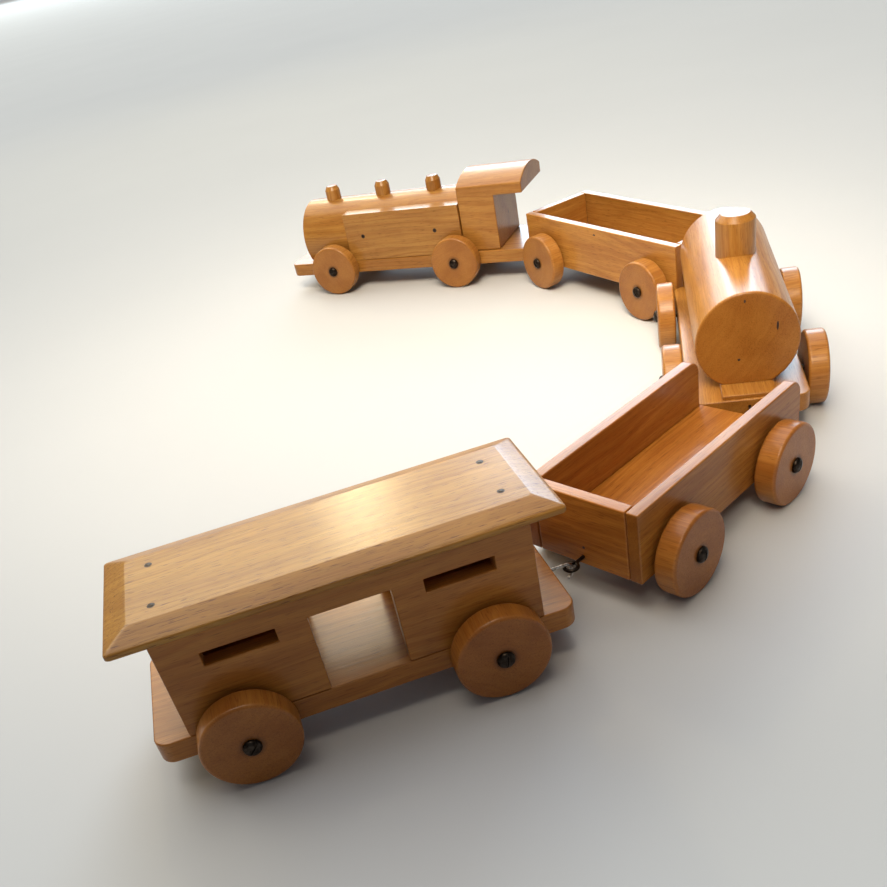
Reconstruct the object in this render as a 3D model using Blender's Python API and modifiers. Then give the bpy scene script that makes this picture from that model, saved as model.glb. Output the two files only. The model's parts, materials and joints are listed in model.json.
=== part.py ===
"""Wooden train set: a locomotive and four wagons, coupled by hooks and eyes and laid in a curve.

Metres, +Z up, standing on z = 0 with the middle of the train's bounding box over the origin.
Each vehicle is modelled in its own frame under an empty: +X is the way it faces, +Y its left side.
"""
import math

import bmesh
import bpy
from mathutils import Matrix, Vector

MM = 0.001
GAP = 0.3 * MM                      # clearance between pieces that touch
MERGE = 0.1 * MM                    # merge distance of turned shapes

# Wheels and the screws that hold them
WHEEL_DIAMETER = 50.0 * MM
WHEEL_WIDTH = 13.6 * MM
WHEEL_CHAMFER = 2.0 * MM
WHEEL_OUTER_Y = 53.6 * MM           # from a vehicle's middle to a wheel's outer face
WHEEL_STEPS = 24
SCREW_RADIUS = 2.2 * MM
SCREW_BORE = SCREW_RADIUS + 0.4 * MM
SCREW_HEAD_RADIUS = 4.7 * MM
SCREW_HEAD_HEIGHT = 2.8 * MM
AXLE_Z = WHEEL_DIAMETER / 2

# The plank that carries the locomotive, the tank wagon and the box car
PLANK_WIDTH = 76.2 * MM
PLANK_BOTTOM = 17.5 * MM
PLANK_TOP = 30.0 * MM
PLANK_CORNER = 8.0 * MM

# The open boxes of the gondola and the open wagon
BED_WIDTH = 76.6 * MM
BED_BOTTOM = 19.7 * MM
BED_FLOOR_TOP = 31.6 * MM
BED_TOP = 63.3 * MM
BED_BOARD = 7.7 * MM

# Locomotive, lengths along X from its own origin
LOCO_REAR_X = -196.0 * MM
LOCO_FRONT_X = 80.4 * MM
LOCO_AXLES_X = {"front": 21.6 * MM, "rear": -117.8 * MM}
BOILER_RADIUS = 34.7 * MM
BOILER_Z = 51.0 * MM
BOILER_FRONT_X = 58.4 * MM
CAB_FRONT_X = -125.4 * MM
CAB_BACKHEAD_X = -163.5 * MM
CAB_ROOF_REAR_X = -193.0 * MM
CAB_WIDTH = 70.2 * MM
CAB_EAVES_Z = 92.2 * MM
CAB_ROOF_Z = 101.4 * MM
CAB_OVERHANG_Z = 82.2 * MM
SIDE_TANK_FRONT_X = 4.0 * MM
SIDE_TANK_TOP = 77.6 * MM
SIDE_TANK_DEPTH = 17.0 * MM
CHIMNEY_RADIUS = 7.8 * MM
CHIMNEY_TOP = 98.6 * MM
CHIMNEYS_X = (28.2 * MM, -30.6 * MM, -88.6 * MM)

# Gondola and open wagon
GONDOLA_LENGTH = 206.0 * MM
GONDOLA_AXLE_X = 71.4 * MM
OPEN_LENGTH = 166.0 * MM
OPEN_AXLE_X = 50.7 * MM
OPEN_CORNER = 9.0 * MM              # rounding of its side boards at the open end

# Tank wagon
TANKER_REAR_X = -108.4 * MM
TANKER_FRONT_X = 104.5 * MM
TANKER_AXLE_X = 59.4 * MM
BARREL_RADIUS = 33.0 * MM
BARREL_LENGTH = 179.0 * MM
BARREL_Z = 61.2 * MM
SADDLE_WIDTH = 34.0 * MM
SADDLE_TOP = 32.7 * MM
DOME_RADIUS = 13.4 * MM
DOME_TOP = 119.6 * MM
DOME_X = -10.0 * MM

# Box car
BOX_CAR_LENGTH = 219.0 * MM
BOX_CAR_AXLE_X = 64.3 * MM
BODY_LENGTH = 183.4 * MM
BODY_WIDTH = 76.2 * MM
BODY_TOP = 87.2 * MM
BODY_BOARD = 9.2 * MM
DOOR_HALF_WIDTH = 20.4 * MM
DOOR_TOP = 75.0 * MM
SLOT_INNER_X = 36.2 * MM
SLOT_OUTER_X = 71.6 * MM
SLOT_BOTTOM = 67.2 * MM
ROOF_LENGTH = 219.6 * MM
ROOF_WIDTH = 80.8 * MM
ROOF_THICKNESS = 7.6 * MM
ROOF_LIP = 3.2 * MM                 # upright edge under the roof's bevel
ROOF_BEVEL = 12.2 * MM

# Couplings: an eye screw behind each leading vehicle and a hook before each following one
WIRE_RADIUS = 1.1 * MM
WIRE_BORE = WIRE_RADIUS + 0.4 * MM
EYE_RING_RADIUS = 3.7 * MM
EYE_Z = 25.0 * MM
HOOK_BEND = 2.6 * MM
HOOK_Z = EYE_Z + 2 * WIRE_RADIUS + 0.5 * MM
SHANK_IN_WOOD = 12.0 * MM
EYE_REACH = {"loco": 13.0 * MM, "gondola": 11.0 * MM, "tanker": 11.0 * MM, "open": 11.0 * MM}
HOOK_REACH = {"gondola": 12.0 * MM, "tanker": 16.0 * MM, "open": 12.0 * MM, "box_car": 12.0 * MM}

# The curve that the train stands in
LOCO_HEADING = math.radians(152.4)
YAW = {"gondola": math.radians(-37.6), "tanker": math.radians(-40.8),
       "open": math.radians(-35.8), "box_car": math.radians(-29.2)}

FRONT_X = {"gondola": GONDOLA_LENGTH / 2, "tanker": TANKER_FRONT_X, "open": OPEN_LENGTH / 2,
           "box_car": BOX_CAR_LENGTH / 2}
REAR_X = {"loco": LOCO_REAR_X, "gondola": -GONDOLA_LENGTH / 2, "tanker": TANKER_REAR_X,
          "open": -OPEN_LENGTH / 2}


# ---------------------------------------------------------------- scene, materials and helpers

def new_collection(name):
    collection = bpy.data.collections.new(name)
    bpy.context.scene.collection.children.link(collection)
    return collection


def finish(name, colour, roughness, metallic=0.0):
    material = bpy.data.materials.new(name)
    material.use_nodes = True
    shader = material.node_tree.nodes["Principled BSDF"]
    shader.inputs["Base Color"].default_value = (*colour, 1.0)
    shader.inputs["Roughness"].default_value = roughness
    shader.inputs["Metallic"].default_value = metallic
    return material


def add_object(name, mesh, parent, location=(0, 0, 0), material=None, collection=None):
    obj = bpy.data.objects.new(name, mesh)
    (collection or PARTS).objects.link(obj)
    obj.parent = parent
    obj.location = location
    if material is not None and not mesh.materials:
        mesh.materials.append(material)
    return obj


def mesh_of(name, bm):
    mesh = bpy.data.meshes.new(name)
    bm.to_mesh(mesh)
    bm.free()
    return mesh


def box_mesh(name, size, corner=0.0):
    """A box about its own centre, its upright edges rounded to the radius `corner`."""
    bm = bmesh.new()
    bmesh.ops.create_cube(bm, size=1.0, matrix=Matrix.Diagonal((*size, 1.0)))
    if corner:
        upright = [e for e in bm.edges
                   if abs(e.verts[0].co.z - e.verts[1].co.z) > size[2] / 2]
        bmesh.ops.bevel(bm, geom=upright, offset=corner, segments=4, profile=0.5, affect="EDGES")
    return mesh_of(name, bm)


def add_board(name, low, high, parent, material, corner=0.0):
    """A board between two corners given in its vehicle's frame."""
    low, high = Vector(low), Vector(high)
    mesh = box_mesh(name, high - low, corner)
    return add_object(name, mesh, parent, (low + high) / 2, material)


def cylinder_mesh(name, radius, length, segments, axis="Z", chamfer=0.0):
    """A closed cylinder about its own centre; `chamfer` cuts its top edge."""
    bm = bmesh.new()
    bmesh.ops.create_cone(bm, cap_ends=True, segments=segments, radius1=radius, radius2=radius,
                          depth=length)
    if chamfer:
        top = [e for e in bm.edges if all(v.co.z > 0 for v in e.verts)]
        bmesh.ops.bevel(bm, geom=top, offset=chamfer, segments=2, profile=0.5, affect="EDGES")
    turn = {"X": Matrix.Rotation(math.pi / 2, 4, "Y"), "Y": Matrix.Rotation(-math.pi / 2, 4, "X"),
            "Z": Matrix.Identity(4)}[axis]
    bm.transform(turn)
    return mesh_of(name, bm)


def add_cutter(name, mesh, parent, location):
    cutter = add_object(name, mesh, parent, location, collection=CUTTERS)
    cutter.hide_render = True
    cutter.display_type = "WIRE"
    return cutter


def box_cutter(name, low, high, parent):
    low, high = Vector(low), Vector(high)
    return add_cutter(name, box_mesh(name, high - low), parent, (low + high) / 2)


def combine(obj, cutter, operation="DIFFERENCE"):
    modifier = obj.modifiers.new(cutter.name, "BOOLEAN")
    modifier.operation = operation
    modifier.object = cutter
    modifier.solver = "EXACT"


def shade_round(obj):
    obj.data.shade_smooth()
    obj.data.set_sharp_from_angle(angle=math.radians(35))


def turned(name, profile, steps, parent, material, location, closed):
    """A shape turned about its vehicle's Y axis from (radius, height) points, outer side downwards."""
    bm = bmesh.new()
    points = [bm.verts.new((radius, 0, height)) for radius, height in profile]
    for start, end in zip(points, points[1:]):
        bm.edges.new((start, end))
    if closed:
        bm.edges.new((points[-1], points[0]))
    obj = add_object(name, mesh_of(name, bm), parent, location, material)
    obj.rotation_euler.x = -math.pi / 2
    spin = obj.modifiers.new("turn", "SCREW")
    spin.axis = "Z"
    spin.steps = steps
    spin.render_steps = steps
    spin.use_merge_vertices = True
    spin.merge_threshold = MERGE
    spin.use_smooth_shade = False
    return obj


# ---------------------------------------------------------------- running gear and couplings

def wheel_profile():
    half = WHEEL_WIDTH / 2
    radius = WHEEL_DIAMETER / 2
    face = radius - WHEEL_CHAMFER
    return [(SCREW_BORE, half), (face, half), (radius, half - WHEEL_CHAMFER),
            (radius, WHEEL_CHAMFER - half), (face, -half), (SCREW_BORE, -half)]


def axle_profile():
    """A shank with a domed head outside each wheel."""
    seat = WHEEL_OUTER_Y + GAP
    angles = [math.radians(step) for step in (0, 35, 65, 90)]
    dome = [(SCREW_HEAD_RADIUS * math.sin(a), seat + SCREW_HEAD_HEIGHT * math.cos(a))
            for a in angles]
    upper = dome + [(SCREW_RADIUS, seat)]
    return upper + [(radius, -height) for radius, height in reversed(upper)]


def add_axle(vehicle, end, x, parent):
    """One axle with its two wheels. Returns the cutter of the axle's bore."""
    turned(f"{vehicle}_axle_{end}", axle_profile(), 12, parent, STEEL, (x, 0, AXLE_Z), closed=False)
    for side, sign in (("left", 1), ("right", -1)):
        middle = sign * (WHEEL_OUTER_Y - WHEEL_WIDTH / 2)
        turned(f"{vehicle}_wheel_{end}_{side}", wheel_profile(), WHEEL_STEPS, parent, WHEEL_WOOD,
               (x, middle, AXLE_Z), closed=True)
    bore = cylinder_mesh(f"{vehicle}_bore_{end}", SCREW_BORE, 2 * PLANK_WIDTH, 12, "Y")
    return add_cutter(f"{vehicle}_bore_{end}", bore, parent, (x, 0, AXLE_Z))


def shank_bore(name, wood_end, inwards, height, parent):
    """The bore of a wire shank that enters the wood at `wood_end`."""
    length = 2 * (SHANK_IN_WOOD + 2 * GAP)
    mesh = cylinder_mesh(name, WIRE_BORE, length, 12, "X")
    cutter = add_cutter(name, mesh, parent, (wood_end, 0, height))
    cutter.location.x += inwards * GAP
    return cutter


def add_eye(vehicle, parent):
    """An eye screw in a vehicle's rear end, its ring lying flat. Returns its bore's cutter."""
    rear = REAR_X[vehicle]
    ring_x = rear - EYE_REACH[vehicle]
    bpy.ops.mesh.primitive_torus_add(major_segments=16, minor_segments=8,
                                     major_radius=EYE_RING_RADIUS, minor_radius=WIRE_RADIUS)
    ring = bpy.context.object
    ring.name = f"{vehicle}_eye"
    for collection in list(ring.users_collection):
        collection.objects.unlink(ring)
    PARTS.objects.link(ring)
    ring.parent = parent
    ring.location = (ring_x, 0, EYE_Z)
    ring.data.materials.append(STEEL)
    start = ring_x + EYE_RING_RADIUS
    end = rear + SHANK_IN_WOOD
    shank = cylinder_mesh(f"{vehicle}_eye_shank", WIRE_RADIUS * 0.98, end - start, 8, "X")
    combine(ring, add_cutter(f"{vehicle}_eye_shank", shank, parent, ((start + end) / 2, 0, EYE_Z)),
            "UNION")
    return shank_bore(f"{vehicle}_eye_bore", rear, 1, EYE_Z, parent)


def add_hook(vehicle, parent):
    """A wire hook in a vehicle's front end, dropping through the leader's eye. Returns its bore."""
    front = FRONT_X[vehicle]
    eye_x = front + HOOK_REACH[vehicle]
    points = [(front - SHANK_IN_WOOD, HOOK_Z), (eye_x - HOOK_BEND, HOOK_Z)]
    for step in range(1, 4):
        angle = math.radians(30 * step)
        points.append((eye_x - HOOK_BEND + HOOK_BEND * math.sin(angle),
                       HOOK_Z - HOOK_BEND + HOOK_BEND * math.cos(angle)))
    tip_z = EYE_Z - 3.6 * MM
    for step in range(4):
        angle = math.radians(30 * step)
        points.append((eye_x - HOOK_BEND + HOOK_BEND * math.cos(angle),
                       tip_z - HOOK_BEND * math.sin(angle)))
    curve = bpy.data.curves.new(f"{vehicle}_hook", "CURVE")
    curve.dimensions = "3D"
    curve.bevel_depth = WIRE_RADIUS
    curve.bevel_resolution = 2
    curve.use_fill_caps = True
    spline = curve.splines.new("POLY")
    spline.points.add(len(points) - 1)
    for point, (x, z) in zip(spline.points, points):
        point.co = (x - eye_x, 0, z - EYE_Z, 1)
    curve.materials.append(STEEL)
    hook = bpy.data.objects.new(f"{vehicle}_hook", curve)
    PARTS.objects.link(hook)
    hook.parent = parent
    hook.location = (eye_x, 0, EYE_Z)
    return shank_bore(f"{vehicle}_hook_bore", front, -1, HOOK_Z, parent)


# ---------------------------------------------------------------- vehicles

def add_plank(vehicle, rear, front, parent, bores):
    plank = add_board(f"{vehicle}_base", (rear, -PLANK_WIDTH / 2, PLANK_BOTTOM),
                      (front, PLANK_WIDTH / 2, PLANK_TOP), parent, WOOD, PLANK_CORNER)
    for bore in bores:
        combine(plank, bore)
    return plank


def add_peg(name, radius, top, x, foot, chamfer, parent):
    """A round peg as a cutter, ready to be joined to a boiler or barrel."""
    mesh = cylinder_mesh(name, radius, top - foot, 20, "Z", chamfer)
    return add_cutter(name, mesh, parent, (x, 0, (top + foot) / 2))


def add_flat_round(name, radius, centre_z, rear, front, flat_z, parent):
    """A round log along X, its underside planed flat at `flat_z`."""
    mesh = cylinder_mesh(name, radius, front - rear, 32, "X")
    log = add_object(name, mesh, parent, ((front + rear) / 2, 0, centre_z), WOOD)
    shade_round(log)
    under = box_cutter(f"{name}_flat", (rear - radius, -radius, flat_z - radius),
                       (front + radius, radius, flat_z), parent)
    combine(log, under)
    return log


def add_loco(parent):
    bores = [add_axle("loco", end, x, parent) for end, x in LOCO_AXLES_X.items()]
    add_plank("loco", LOCO_REAR_X, LOCO_FRONT_X, parent, bores + [add_eye("loco", parent)])

    boiler = add_flat_round("loco_boiler", BOILER_RADIUS, BOILER_Z, CAB_FRONT_X + GAP,
                            BOILER_FRONT_X, PLANK_TOP + GAP, parent)
    for number, x in enumerate(CHIMNEYS_X, 1):
        peg = add_peg(f"loco_chimney_{number}", CHIMNEY_RADIUS, CHIMNEY_TOP, x, BOILER_Z,
                      1.6 * MM, parent)
        combine(boiler, peg, "UNION")

    hollow = cylinder_mesh("loco_tank_hollow", BOILER_RADIUS + 1.5 * GAP, 0.4, 32, "X")
    hollow = add_cutter("loco_tank_hollow", hollow, parent, (0, 0, BOILER_Z))
    for side, sign in (("left", 1), ("right", -1)):
        outer = PLANK_WIDTH / 2
        edges = sorted((sign * outer, sign * (outer - SIDE_TANK_DEPTH)))
        tank = add_board(f"loco_side_tank_{side}",
                         (CAB_FRONT_X + GAP, edges[0], PLANK_TOP + GAP),
                         (SIDE_TANK_FRONT_X, edges[1], SIDE_TANK_TOP), parent, WOOD)
        combine(tank, hollow)
    add_cab(parent)


def add_cab(parent):
    """The cab block: an arched roof that runs on behind the backhead."""
    half = CAB_WIDTH / 2
    cab = add_board("loco_cab", (CAB_ROOF_REAR_X, -half, PLANK_TOP + GAP),
                    (CAB_FRONT_X, half, CAB_ROOF_Z), parent, WOOD)
    rise = CAB_ROOF_Z - CAB_EAVES_Z
    arch_radius = (half ** 2 + rise ** 2) / (2 * rise)
    arch = cylinder_mesh("loco_cab_arch", arch_radius, 0.5, 96, "X")
    combine(cab, add_cutter("loco_cab_arch", arch, parent,
                            (CAB_FRONT_X, 0, CAB_ROOF_Z - arch_radius)), "INTERSECT")
    combine(cab, box_cutter("loco_cab_notch", (CAB_ROOF_REAR_X - 0.05, -0.1, 0),
                            (CAB_BACKHEAD_X, 0.1, CAB_OVERHANG_Z), parent))


def add_bed(vehicle, length, axle_x, ends, parent):
    """The open box of a wagon: two side boards, an end board at each of `ends`, and a floor."""
    half_x = length / 2
    half_y = BED_WIDTH / 2
    inner_y = half_y - BED_BOARD
    axle_bores = [add_axle(vehicle, "front", axle_x, parent),
                  add_axle(vehicle, "rear", -axle_x, parent)]
    shank_bores = {"front": add_hook(vehicle, parent), "rear": add_eye(vehicle, parent)}
    sides = []
    for side, sign in (("left", 1), ("right", -1)):
        edges = sorted((sign * half_y, sign * inner_y))
        sides.append(add_board(f"{vehicle}_side_{side}", (-half_x, edges[0], BED_BOTTOM),
                               (half_x, edges[1], BED_TOP), parent, WOOD))
        for bore in axle_bores:
            combine(sides[-1], bore)
    floor_x = {"front": half_x, "rear": half_x}
    for end, sign in (("front", 1), ("rear", -1)):
        if end not in ends:
            continue
        edges = sorted((sign * half_x, sign * (half_x - BED_BOARD)))
        board = add_board(f"{vehicle}_end_{end}", (edges[0], GAP - inner_y, BED_BOTTOM),
                          (edges[1], inner_y - GAP, BED_TOP), parent, WOOD)
        combine(board, shank_bores[end])
        floor_x[end] -= BED_BOARD + GAP
    floor = add_board(f"{vehicle}_floor", (-floor_x["rear"], GAP - inner_y, BED_BOTTOM),
                      (floor_x["front"], inner_y - GAP, BED_FLOOR_TOP), parent, WOOD)
    for bore in axle_bores + list(shank_bores.values()):
        combine(floor, bore)
    return sides


def add_gondola(parent):
    add_bed("gondola", GONDOLA_LENGTH, GONDOLA_AXLE_X, ("front", "rear"), parent)


def add_open_wagon(parent):
    """The wagon without a front end board; its side boards are rounded there."""
    sides = add_bed("open", OPEN_LENGTH, OPEN_AXLE_X, ("rear",), parent)
    corner_x = OPEN_LENGTH / 2 - OPEN_CORNER
    corner_z = BED_TOP - OPEN_CORNER
    reach = 2 * OPEN_CORNER
    waste = box_cutter("open_corner", (corner_x, -BED_WIDTH, corner_z),
                       (corner_x + reach, BED_WIDTH, corner_z + reach), parent)
    round_mesh = cylinder_mesh("open_corner_round", OPEN_CORNER, 4 * BED_WIDTH, 32, "Y")
    combine(waste, add_cutter("open_corner_round", round_mesh, parent, (corner_x, 0, corner_z)))
    for side in sides:
        combine(side, waste)


def add_tanker(parent):
    bores = [add_axle("tanker", "front", TANKER_AXLE_X, parent),
             add_axle("tanker", "rear", -TANKER_AXLE_X, parent),
             add_hook("tanker", parent), add_eye("tanker", parent)]
    plank = add_plank("tanker", TANKER_REAR_X, TANKER_FRONT_X, parent, [])
    inset = 2 * MM
    saddle = box_cutter("tanker_saddle",
                        (TANKER_REAR_X + inset, -SADDLE_WIDTH / 2, PLANK_TOP - 1 * MM),
                        (TANKER_FRONT_X - inset, SADDLE_WIDTH / 2, SADDLE_TOP), parent)
    combine(plank, saddle, "UNION")
    for bore in bores:
        combine(plank, bore)
    barrel = add_flat_round("tanker_barrel", BARREL_RADIUS, BARREL_Z, -BARREL_LENGTH / 2,
                            BARREL_LENGTH / 2, SADDLE_TOP + GAP, parent)
    combine(barrel, add_peg("tanker_dome", DOME_RADIUS, DOME_TOP, DOME_X, BARREL_Z, 3.2 * MM,
                            parent), "UNION")


def add_box_car(parent):
    bores = [add_axle("box_car", "front", BOX_CAR_AXLE_X, parent),
             add_axle("box_car", "rear", -BOX_CAR_AXLE_X, parent), add_hook("box_car", parent)]
    add_plank("box_car", -BOX_CAR_LENGTH / 2, BOX_CAR_LENGTH / 2, parent, bores)

    half_x = BODY_LENGTH / 2
    half_y = BODY_WIDTH / 2
    inner_y = half_y - BODY_BOARD
    floor_z = PLANK_TOP + GAP
    openings = [box_cutter("box_car_door", (-DOOR_HALF_WIDTH, -0.1, 0),
                           (DOOR_HALF_WIDTH, 0.1, DOOR_TOP), parent)]
    for end, near, far in (("front", SLOT_INNER_X, SLOT_OUTER_X),
                           ("rear", -SLOT_OUTER_X, -SLOT_INNER_X)):
        openings.append(box_cutter(f"box_car_slot_{end}", (near, -0.1, SLOT_BOTTOM),
                                   (far, 0.1, DOOR_TOP), parent))
    for side, sign in (("left", 1), ("right", -1)):
        edges = sorted((sign * half_y, sign * inner_y))
        board = add_board(f"box_car_side_{side}", (-half_x, edges[0], floor_z),
                          (half_x, edges[1], BODY_TOP), parent, WOOD)
        for opening in openings:
            combine(board, opening)
    for end, sign in (("front", 1), ("rear", -1)):
        edges = sorted((sign * half_x, sign * (half_x - BODY_BOARD)))
        add_board(f"box_car_end_{end}", (edges[0], GAP - inner_y, floor_z),
                  (edges[1], inner_y - GAP, BODY_TOP), parent, WOOD)
    add_roof(parent)


def add_roof(parent):
    """The box car's roof board, bevelled all round above an upright lip."""
    bm = bmesh.new()
    bmesh.ops.create_cube(bm, size=1.0, matrix=Matrix.Diagonal((ROOF_LENGTH, ROOF_WIDTH,
                                                                ROOF_LIP, 1.0)))
    top = max(bm.faces, key=lambda face: face.calc_center_median().z)
    raised = bmesh.ops.extrude_face_region(bm, geom=[top])["geom"]
    bmesh.ops.delete(bm, geom=[top], context="FACES_ONLY")
    for vert in raised:
        if isinstance(vert, bmesh.types.BMVert):
            vert.co.x -= math.copysign(ROOF_BEVEL, vert.co.x)
            vert.co.y -= math.copysign(ROOF_BEVEL, vert.co.y)
            vert.co.z += ROOF_THICKNESS - ROOF_LIP
    bmesh.ops.recalc_face_normals(bm, faces=bm.faces)
    add_object("box_car_roof", mesh_of("box_car_roof", bm), parent,
               (0, 0, BODY_TOP + GAP + ROOF_LIP / 2), WOOD)


# ---------------------------------------------------------------- the train

def add_vehicle_empty(name, place, heading, parent):
    empty = bpy.data.objects.new(name, None)
    PARTS.objects.link(empty)
    empty.parent = parent
    empty.location = (place.x, place.y, 0)
    empty.rotation_euler.z = heading
    return empty


def along(heading, distance):
    return Vector((math.cos(heading), math.sin(heading), 0)) * distance


def centre_on_origin(train):
    """Moves the train so that the middle of its bounding box stands over the origin."""
    bpy.context.view_layer.update()
    graph = bpy.context.evaluated_depsgraph_get()
    low = Vector((math.inf, math.inf, math.inf))
    high = -low
    for obj in PARTS.objects:
        if obj.type == "EMPTY":
            continue
        solid = obj.evaluated_get(graph)
        mesh = solid.to_mesh()
        for vert in mesh.vertices:
            point = solid.matrix_world @ vert.co
            low = Vector(map(min, low, point))
            high = Vector(map(max, high, point))
        solid.to_mesh_clear()
    middle = (low + high) / 2
    train.location = (-middle.x, -middle.y, -low.z)


def build():
    train = add_vehicle_empty("train", Vector(), 0, None)
    heading = LOCO_HEADING
    place = Vector()
    add_loco(add_vehicle_empty("loco", place, heading, train))
    makers = {"gondola": add_gondola, "tanker": add_tanker, "open": add_open_wagon,
              "box_car": add_box_car}
    leader = "loco"
    for vehicle, make in makers.items():
        hinge = place + along(heading, REAR_X[leader] - EYE_REACH[leader])
        heading += YAW[vehicle]
        place = hinge - along(heading, FRONT_X[vehicle] + HOOK_REACH[vehicle])
        make(add_vehicle_empty(vehicle, place, heading, train))
        leader = vehicle
    centre_on_origin(train)


for old in list(bpy.data.objects):
    bpy.data.objects.remove(old, do_unlink=True)
PARTS = new_collection("wooden_train_set")
CUTTERS = new_collection("cutters")
WOOD = finish("beech", (0.52, 0.25, 0.07), 0.28)
WHEEL_WOOD = finish("wheel_beech", (0.45, 0.21, 0.06), 0.30)
STEEL = finish("steel", (0.16, 0.14, 0.13), 0.35, 1.0)
build()
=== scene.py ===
import json
import math
import random

import bmesh
import bpy
from mathutils import Matrix, Vector


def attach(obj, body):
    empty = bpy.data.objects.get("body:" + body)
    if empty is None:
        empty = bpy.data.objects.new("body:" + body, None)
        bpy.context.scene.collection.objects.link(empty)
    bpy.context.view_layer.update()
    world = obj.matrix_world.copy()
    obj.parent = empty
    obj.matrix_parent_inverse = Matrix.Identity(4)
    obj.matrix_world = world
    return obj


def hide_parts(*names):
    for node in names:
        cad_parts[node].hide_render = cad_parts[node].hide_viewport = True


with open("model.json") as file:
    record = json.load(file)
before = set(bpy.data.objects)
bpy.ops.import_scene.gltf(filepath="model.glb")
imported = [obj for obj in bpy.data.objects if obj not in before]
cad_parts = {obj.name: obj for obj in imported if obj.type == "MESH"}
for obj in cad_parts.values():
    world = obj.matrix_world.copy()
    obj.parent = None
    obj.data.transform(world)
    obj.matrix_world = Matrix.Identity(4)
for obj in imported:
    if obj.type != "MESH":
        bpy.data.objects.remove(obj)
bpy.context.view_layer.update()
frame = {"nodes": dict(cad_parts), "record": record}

# The looks of a wooden train: every visible piece of wood and wire, its varnish and the studio.
# A vehicle's pieces are built in that vehicle's own frame, with +X forwards, +Y left and z = 0 on
# the floor, from the boxes of its CAD nodes. They are then moved to where the vehicle stands.

MM = 0.001

BODIES = {"loco": "locomotive", "gondola": "gondola_wagon", "tanker": "tank_wagon",
          "open": "open_wagon", "box_car": "box_wagon"}
LOCO_FRONT_AXLE_X = 21.6 * MM       # the other vehicles' axles lie evenly about x = 0

# Sizes that every vehicle shares.
EDGE = 0.9 * MM                     # rounding of sanded edges
SLOT_EDGE = 0.7 * MM                # the same beside a sawn slot
PLANK_CORNER = 8.0 * MM
ROUND_STEPS = 128                   # segments round a boiler, barrel or wheel
THROUGH = 1.0                       # how far a cutter reaches past what it cuts
MARK_PROUD = 0.08 * MM              # how far a knot, crack or slit stands out of the wood
NAIL_HOLE_RADIUS = 2.1 * MM
NAIL_RADIUS = 1.25 * MM

# Wheels, screws and couplings.
WHEEL_ROUNDING = 2.1 * MM
BORE_DEPTH = 3.0 * MM
SCREW_SHANK = 2.2 * MM
SCREW_GAP = 0.2 * MM                # between a screw's head and its wheel
SHADE_REACH = (4.7 * MM, 6.6 * MM)  # painted shade round a screw head is full inside, and gone outside
WIRE_RADIUS = 1.1 * MM
EYE_RING_RADIUS = 3.7 * MM
EYE_GAP_ANGLE = 14                  # half of the angle left open in a screw eye's ring
HOOK_BEND = 2.6 * MM

# Locomotive.
BOILER_Z = 51.0 * MM
CHIMNEYS_X = (28.2 * MM, -30.6 * MM, -88.6 * MM)
CHIMNEY_RADIUS = 7.8 * MM
TANK_CLEARANCE = 0.45 * MM          # between a side tank's hollow and the boiler
TANK_NAILS_X = (-15.2 * MM, -97.0 * MM)
TANK_NAILS_Z = 54.7 * MM
CAB_BACKHEAD_X = -163.5 * MM
CAB_EAVES_Z = 92.2 * MM
CAB_OVERHANG_Z = 82.2 * MM
CAB_ARCH_STEPS = 40

# Open wagon and tank wagon.
OPEN_CORNER = 9.0 * MM
BARREL_RADIUS = 33.0 * MM
BARREL_Z = 61.2 * MM
SADDLE_WIDTH = 34.0 * MM
SADDLE_INSET = 2.0 * MM
DOME_RADIUS = 13.4 * MM
DOME_X = -10.0 * MM
# dark spots of painted shade for the insides of cracks in the barrel's end
BARREL_CRACKS_MM = (                # y, z, half height and half width on the barrel's end
    (-18.5, 70.2, 3.0, 0.7), (5.1, 49.5, 0.9, 0.9), (1.8, 88.6, 1.1, 0.6))

# Box car.
DOOR_HALF_WIDTH = 20.4 * MM
DOOR_TOP = 75.0 * MM
SLOT_X = (36.2 * MM, 71.6 * MM)
SLOT_BOTTOM = 67.2 * MM
ROOF_CORNER = 2.2 * MM
ROOF_LIP = 3.2 * MM
ROOF_BEVEL = 12.2 * MM
ROOF_NAILS_MM = ((-85.8, 18.0), (-85.6, -18.2), (85.8, 16.2), (85.7, -16.6))

# Each vehicle's tint against plain varnish. The open wagon's redder wood and the locomotive's
# cooler wood are their own tones; the box car's redder wood is partly its own tone and partly
# painted shade on its shaded sides.
TONE_AND_SHADE_TINTS = {"loco": (1.0, 1.02, 1.05), "open": (1.0, 0.84, 0.70), "box_car": (0.98, 0.83, 0.70)}
# painted warm light: the box car's roof board is tinted yellower for the warm light on its lit
# top
ROOF_WARM_LIGHT_TINT = (0.97, 0.97, 0.74)


# ---------------------------------------------------------------- the vehicles' own frames

JOINTS = {joint["name"]: joint for joint in frame["record"]["behaviour"]["joints"]}


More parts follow.
